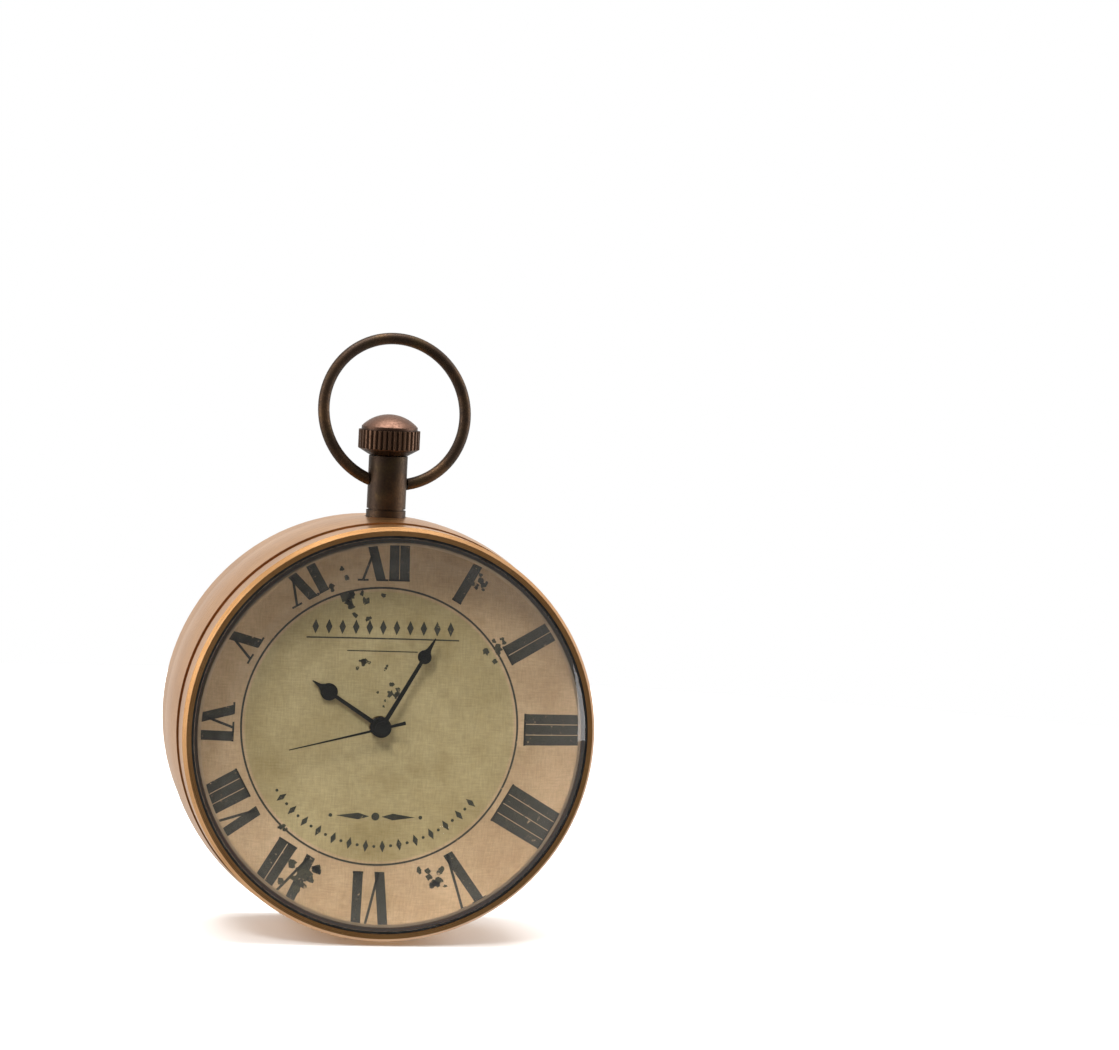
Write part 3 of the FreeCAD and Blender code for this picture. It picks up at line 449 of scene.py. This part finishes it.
# ink blots and foxing: small ragged patches, each its own random shape from a fixed seed
rng = random.Random(7)
SPOT_SIDES = 11


def blot(angle, distance, size, bits):
    """A cluster of ragged ink spots about a place given as clock angle and radius."""
    cx, cy = turned([(0, distance)], angle)[0]
    spots = []
    for i in range(bits):
        spread = size * (0.2 if i == 0 else 0.95)
        x, y = cx + rng.gauss(0, spread), cy + rng.gauss(0, spread)
        r = size * (0.55 if i == 0 else rng.uniform(0.18, 0.48))
        spots.append([(x + r * rng.uniform(0.55, 1.3) * math.sin(t * math.tau / SPOT_SIDES),
                       y + r * rng.uniform(0.55, 1.3) * math.cos(t * math.tau / SPOT_SIDES))
                      for t in range(SPOT_SIDES)])
    return spots


blots = []
for angle, distance, size, bits in (
    (344, 16.6, 1.5, 9), (352, 15.6, 1.0, 6), (344, 8.2, 0.75, 7), (4, 7.2, 0.35, 3),
    (18, 4.3, 0.8, 9), (55, 17.6, 1.0, 7), (34, 22.3, 0.9, 10), (206, 20.8, 1.3, 14),
    (157, 20.8, 1.1, 11), (338, 18.7, 0.7, 6), (222, 17.6, 0.6, 6), (120, 22.0, 0.3, 3),
):
    blots += blot(angle, distance, size, bits)
blot_ink = ink("blot_ink", dial_paper_colour, (0.055, 0.052, 0.036), 0.60)
flat_piece("dial_blots", blots, blot_ink, DIAL_Y - BLOT_LIFT, -1)

# plain lozenges, dots and rules fill the places of lettering and a picture
LOZENGE_ROW, CENTRE_PIECE = 12.3, -11.2
ornament = [bar(-9.6, 10.9, 9.6, 10.9, 0.18), bar(-4.4, 9.3, 4.4, 9.3, 0.14)]
for i in range(-5, 6):
    ornament.append(moved([(-0.42, 0), (0, 0.95), (0.42, 0), (0, -0.95)], i * 1.7, LOZENGE_ROW))
for side in (-1, 1):
    leaf = [(0, 0), (side * 1.4, 0.42), (side * 4.2, 0), (side * 1.4, -0.42)]
    ornament.append(moved(leaf, side * 0.75, CENTRE_PIECE))
    ornament.append(disc(side * 5.6, CENTRE_PIECE, 0.24, 12))
ornament.append(disc(0, CENTRE_PIECE, 0.5, 18))
for angle in range(128, 233, 8):
    ornament += [turned([(-0.34, 15.0), (0, 15.8), (0.34, 15.0), (0, 14.2)], angle),
                 turned(disc(0, 15.0, 0.2, 10), angle + 4)]
flat_piece("dial_ornament", ornament, dial_ink, DIAL_Y - INK_LIFT, -1)

# ---- compass card --------------------------------------------------------------------------------

POINT = 360 / 32
card_ink = ink("card_ink", card_paper_colour, (0.040, 0.052, 0.040), 0.64)
card_light = ink("card_light_ink", card_paper_colour, (0.23, 0.26, 0.21), 0.62, 0.3)
card_engraved = ink("card_engraved_ink", card_paper_colour, (0.085, 0.105, 0.080), 0.66, 0.62)


def mirrored(polygons):
    """The card is read from behind, so its drawing is mirrored left to right."""
    return [[(-x, y) for x, y in polygon] for polygon in polygons]


def star_point(angle, tip, waist, half, foot, foot_half):
    """Left and right halves of one long point."""
    left = [(0, tip), (-half, waist), (-foot_half, foot), (0, foot)]
    right = [(0, tip), (half, waist), (foot_half, foot), (0, foot)]
    return turned(left, angle), turned(right, angle)


SMALL_TIP, SMALL_WAIST, SMALL_HALF = 17.0, 10.0, 1.05
BIG_TIP, BIG_WAIST, BIG_HALF = 17.4, 10.4, 1.85
dark_halves, outlines = [], []
for i in range(1, 32, 2):
    left, _ = star_point(i * POINT, SMALL_TIP, SMALL_WAIST, SMALL_HALF, 8.6, 1.1)
    dark_halves.append(left)
    tip, waist = turned([(0, SMALL_TIP), (SMALL_HALF, SMALL_WAIST)], i * POINT)
    outlines.append(bar(*tip, *waist, 0.10))
card_layers = {"card_star_small": (dark_halves, card_ink), "card_star_lines": (outlines, card_ink)}
engraved, facets = [], []
for i in range(0, 32, 2):
    engraved += star_point(i * POINT, BIG_TIP, BIG_WAIST, BIG_HALF, 7.2, 1.42)
    tip, left, right, foot = turned(
        [(0, BIG_TIP), (-BIG_HALF, BIG_WAIST), (BIG_HALF, BIG_WAIST), (0, 7.3)], i * POINT)
    facets += [bar(*tip, *left, 0.10), bar(*tip, *right, 0.10), bar(*foot, *tip, 0.12)]
    facets.append(turned([(0, 15.6), (-0.42, 13.6), (0, 11.8), (0.42, 13.6)], i * POINT))
card_layers["card_star_big"] = (engraved, card_engraved)
card_layers["card_star_facets"] = (facets, card_ink)

rose = circle_band(5.75, 7.35) + circle_band(1.05, 1.2, 60) + circle_band(1.45, 1.55, 60)
rose.append(disc(0, 0, 0.62))
card_layers["card_rings"] = (rose, card_ink)
petals = []
for i in range(8):
    petals.append(turned([(0, 1.7), (0.55, 2.6), (1.05, 3.5), (0.85, 4.5), (0.42, 4.1), (0, 4.9),
                          (-0.42, 4.1), (-0.85, 4.5), (-1.05, 3.5), (-0.55, 2.6)], i * 45))
card_layers["card_rose_field"] = ([disc(0, 0, 5.8, 64)], card_engraved)
petal_paper = paper("card_petals", card_paper_colour)
hearts = [turned([(0, 2.2), (0.25, 3.1), (0, 3.9), (-0.25, 3.1)], i * 45) for i in range(8)]

scale_marks = circle_band(21.9, 22.0) + circle_band(24.5, 24.62) + circle_band(22.5, 22.56)
for degree in range(0, 360, 5):
    long = degree % 15 == 0
    scale_marks.append(turned(bar(0, 22.6, 0, 23.4 if long else 23.0, 0.14), degree))
    scale_marks.append(turned(disc(0, 23.8, 0.16, 8), degree + 2.5))
card_layers["card_scale"] = (scale_marks, card_light)


def serif_letter(letter):
    """(strokes, width) of a capital one unit tall."""
    thick, thin, foot = 0.17, 0.055, 0.045
    if letter == "N":
        return [bar(0.10, 0, 0.10, 1, thin), bar(0.72, 0, 0.72, 1, thin),
                slanted(0.70, 0.12, 0, 1, thick), bar(-0.02, 0.02, 0.22, 0.02, foot),
                bar(-0.04, 0.98, 0.14, 0.98, foot), bar(0.60, 0.98, 0.84, 0.98, foot)], 0.82
    if letter == "E":
        return [bar(0.18, 0, 0.18, 1, thick), bar(0.02, 0.02, 0.62, 0.02, foot),
                bar(0.02, 0.98, 0.60, 0.98, foot), bar(0.18, 0.52, 0.46, 0.52, foot),
                bar(0.60, 0.0, 0.63, 0.24, 0.05), bar(0.58, 1.0, 0.60, 0.78, 0.05),
                bar(0.46, 0.42, 0.46, 0.62, 0.05)], 0.66
    if letter == "W":
        return [slanted(0.30, 0.10, 0, 1, thick), slanted(0.32, 0.50, 0, 1, thin),
                slanted(0.72, 0.52, 0, 1, thick), slanted(0.74, 0.95, 0, 1, thin),
                bar(-0.02, 0.98, 0.24, 0.98, foot), bar(0.40, 0.98, 0.64, 0.98, foot),
                bar(0.84, 0.98, 1.04, 0.98, foot)], 1.04
    if letter == "S":
        upper = [(0.30 + 0.20 * math.cos(a), 0.755 + 0.215 * math.sin(a))
                 for a in (math.radians(30 + 240 * i / 12) for i in range(13))]
        lower = [(0.29 + 0.225 * math.cos(a), 0.265 + 0.24 * math.sin(a))
                 for a in (math.radians(90 - 245 * i / 12) for i in range(13))]
        spine = upper[:-1] + [(0.30, 0.52)] + lower[1:]
        widths = [0.055 + 0.125 * max(0.0, 1 - abs(i - 12) / 7.5) for i in range(len(spine))]
        return swept([(x, y, w) for (x, y), w in zip(spine, widths)]) + [
            bar(0.475, 0.84, 0.50, 0.98, 0.05), bar(0.085, 0.02, 0.06, 0.22, 0.05)], 0.60
    return [bar(0.12, 0, 0.12, 0.92, 0.10)] + swept(
        [(0.30 + 0.17 * math.cos(a), 0.20 + 0.19 * math.sin(a), 0.09)
         for a in (math.tau * i / 12 for i in range(13))]), 0.50


def lettering(text, tall, base, angle):
    """Letters standing on a circle with their heads outwards."""
    strokes, x = [], 0.0
    for letter in text:
        shapes, width = serif_letter(letter)
        strokes += [moved(shape, x, 0) for shape in shapes]
        x += width + 0.14
    return [turned(moved(s, -(x - 0.14) * tall / 2, base, tall), angle) for s in strokes]


POINTS = ("N", "NbE", "NNE", "NEbN", "NE", "NEbE", "ENE", "EbN", "E", "EbS", "ESE", "SEbE", "SE", "SEbS",
          "SSE", "SbE", "S", "SbW", "SSW", "SWbS", "SW", "SWbW", "WSW", "WbS", "W", "WbN", "WNW", "NWbW",
          "NW", "NWbN", "NNW", "NbW")
letters, small_letters = [], []
for i, name in enumerate(POINTS):
    angle = 180 + i * POINT
    if i % 8 == 0 and name != "N":
        letters += lettering(name, 3.4, 17.9, angle)
    elif i % 4 == 0 and name != "N":
        letters += lettering(name, 1.95, 18.5, angle)
    elif name != "N":
        small_letters += lettering(name, 0.78, 19.0, angle)
fleur = [turned(p, 180) for p in (
    [(0, 21.6), (0.75, 20.2), (0.45, 18.9), (0, 18.2), (-0.45, 18.9), (-0.75, 20.2)],
    [(0.5, 18.6), (1.2, 19.9), (2.1, 20.4), (2.6, 19.6), (2.0, 19.3), (1.4, 18.9), (0.8, 18.2)],
    [(-0.5, 18.6), (-1.2, 19.9), (-2.1, 20.4), (-2.6, 19.6), (-2.0, 19.3), (-1.4, 18.9), (-0.8, 18.2)],
    bar(-1.3, 18.0, 1.3, 18.0, 0.4), [(0, 17.8), (0.8, 17.3), (0, 16.9), (-0.8, 17.3)])]
card_layers["card_letters"] = (letters + fleur, card_ink)
card_layers["card_small_letters"] = (small_letters, card_ink)

for step, (name, (polygons, material)) in enumerate(card_layers.items()):
    flat_piece(name, mirrored(polygons), material, CARD_Y + LAYER_LIFT * (1 + step), 1)
top = CARD_Y + LAYER_LIFT * (2 + len(card_layers))
flat_piece("card_petals", mirrored(petals), petal_paper, top, 1)
flat_piece("card_petal_hearts", mirrored(hearts), card_ink, top + LAYER_LIFT, 1)

# ---- finishes on the CAD nodes -----------------------------------------------------------------------

finishes = {
    "bronze_case": turned_bronze(),
    "dark_bronze": patina("dark_bronze", (0.040, 0.024, 0.015), (0.105, 0.056, 0.025),
                          (0.075, 0.052, 0.020), 0.36),
    "crown_bronze": crown_bronze(),
    "glass": clear_glass(),
    "black_rubber": bezel_gasket(),
    # the front ring's tan is a painted reflection of the tan-brown seen on it
    "tan_ring": grainy("tan_ring", (0.46, 0.32, 0.19), (0.60, 0.44, 0.28), 300.0, 0.6),
    "pale_ring": grainy("pale_ring", (0.56, 0.55, 0.49), (0.66, 0.65, 0.58), 300.0, 0.5),
    "dial_paper": paper("dial_paper", dial_paper_colour),
    "card_paper": paper("card_paper", card_paper_colour),
    "brass_plate": brushed("brass_plate", (0.55, 0.40, 0.16), (0.72, 0.55, 0.27)),
    "white_plastic": grainy("white_plastic", (0.70, 0.70, 0.66), (0.80, 0.80, 0.76), 400.0, 0.5),
    "steel": brushed("steel", (0.42, 0.42, 0.43), (0.62, 0.62, 0.63), 0.25),
    "cell_steel": brushed("cell_steel", (0.60, 0.60, 0.61), (0.75, 0.75, 0.76), 0.2),
    "copper_wire": wound_wire(),
    "green_board": grainy("green_board", (0.010, 0.075, 0.030), (0.020, 0.12, 0.05), 700.0, 0.4),
    "black_plastic": grainy("black_plastic", (0.010, 0.010, 0.010), (0.022, 0.022, 0.022), 900.0, 0.5),
    "wheel_brass": brushed("wheel_brass", (0.62, 0.45, 0.18), (0.80, 0.62, 0.30), 0.2),
    "black_hands": grainy("black_hands", (0.003, 0.003, 0.003), (0.008, 0.008, 0.007), 1200.0, 0.55,
                          gloss=0.12),
}
for part in frame["record"]["subparts"]:
    for slot in frame["nodes"][part["node"]].material_slots:
        slot.material = finishes[part["material_slot"]]

# ---- camera, floor and light ---------------------------------------------------------------------------

centre = Vector((0, 0, CENTRE_Z))
DISTANCE, AZIMUTH, ELEVATION, ROLL = 0.60, -9.5, 7.0, 2.6
ASIDE, BELOW = 0.0270, 0.0292
LENS, SENSOR = 131.2, 36.0
camera = bpy.data.objects.new("camera", bpy.data.cameras.new("camera"))
bpy.context.collection.objects.link(camera)
bpy.context.scene.camera = camera
azimuth, elevation = math.radians(AZIMUTH), math.radians(ELEVATION)
back = Vector((math.sin(azimuth) * math.cos(elevation), -math.cos(azimuth) * math.cos(elevation),
               math.sin(elevation)))
towards = (-back).to_track_quat("-Z", "Y") @ Quaternion((0, 0, 1), math.radians(ROLL))
seen = Vector((-ASIDE, -BELOW, -DISTANCE)).normalized()
camera.location = centre + back * DISTANCE
camera.rotation_mode = "QUATERNION"
camera.rotation_quaternion = towards @ seen.rotation_difference(Vector((0, 0, -1)))
camera.data.sensor_width = SENSOR
camera.data.lens = LENS
camera.data.clip_start, camera.data.clip_end = 0.01, 20.0

FLOOR_R, FLOOR_SIDES = 0.34, 96
floor_mesh = bpy.data.meshes.new("floor")
rim = [(FLOOR_R * math.sin(math.tau * i / FLOOR_SIDES), FLOOR_R * math.cos(math.tau * i / FLOOR_SIDES), 0)
       for i in range(FLOOR_SIDES)]
floor_mesh.from_pydata(rim, [], [list(range(FLOOR_SIDES - 1, -1, -1))])
floor = bpy.data.objects.new("floor", floor_mesh)
bpy.context.collection.objects.link(floor)
white = Shader("floor_white")
white.set(Base_Color=white.ramp(white.noise(white.place(), 12.0), (0.3, 0.90), (0.7, 0.93)), Roughness=0.9)
floor_mesh.materials.append(white.material)
# the glasses would show the floor's edge as a step across the dial
floor.visible_glossy = False
floor.visible_transmission = False


def area_light(name, place, aim, size, power, mirrored_in_metal=True):
    data = bpy.data.lights.new(name, "AREA")
    data.shape = "RECTANGLE"
    data.size, data.size_y = size
    data.energy = power
    light = bpy.data.objects.new(name, data)
    light.visible_glossy = mirrored_in_metal
    light.location = place
    light.rotation_mode = "QUATERNION"
    light.rotation_quaternion = (Vector(aim) - Vector(place)).to_track_quat("-Z", "Y")
    bpy.context.collection.objects.link(light)


area_light("softbox_left", (-0.80, 0.0, 0.30), centre, (0.5, 0.8), 4.5)
area_light("softbox_right", (0.80, 0.0, 0.30), centre, (0.5, 0.8), 4.5)
area_light("softbox_top", (0.0, 0.0, 0.9), centre, (0.8, 0.5), 10.0)
area_light("key_front", (-0.45, -0.75, 0.95), centre, (0.30, 0.30), 7.0, False)
area_light("key_rear", (0.45, 0.75, 0.95), centre, (0.30, 0.30), 3.5, False)

world = bpy.data.worlds.new("studio")
bpy.context.scene.world = world
world.use_nodes = True
tree = world.node_tree
background = tree.nodes["Background"]
direction = tree.nodes.new("ShaderNodeTexCoord").outputs["Generated"]
# seen directly the room is white paper; as a reflection it is dim before the dial
along = tree.nodes.new("ShaderNodeSeparateXYZ")
tree.links.new(direction, along.inputs[0])
depth = tree.nodes.new("ShaderNodeMath")
depth.operation = "MULTIPLY_ADD"
depth.inputs[1].default_value, depth.inputs[2].default_value = 0.5, 0.5
tree.links.new(along.outputs[1], depth.inputs[0])
shade = tree.nodes.new("ShaderNodeValToRGB")
tree.links.new(depth.outputs[0], shade.inputs[0])
stops = shade.color_ramp.elements
stops.new(0.36)
stops.new(0.62)
for stop, (place, level) in zip(stops, ((0.10, 0.20), (0.36, 1.0), (0.62, 1.0), (0.90, 0.90))):
    stop.position, stop.color = place, (level, level * 0.98, level * 0.95, 1)
tree.links.new(shade.outputs[0], background.inputs[0])
background.inputs[1].default_value = 0.95
paper_white = tree.nodes.new("ShaderNodeBackground")
paper_white.inputs[0].default_value = (1.0, 1.0, 1.0, 1.0)
seen_directly = tree.nodes.new("ShaderNodeLightPath").outputs["Is Camera Ray"]
either = tree.nodes.new("ShaderNodeMixShader")
tree.links.new(seen_directly, either.inputs[0])
tree.links.new(background.outputs[0], either.inputs[1])
tree.links.new(paper_white.outputs[0], either.inputs[2])
tree.links.new(either.outputs[0], tree.nodes["World Output"].inputs[0])

bpy.context.scene.view_settings.view_transform = "Standard"
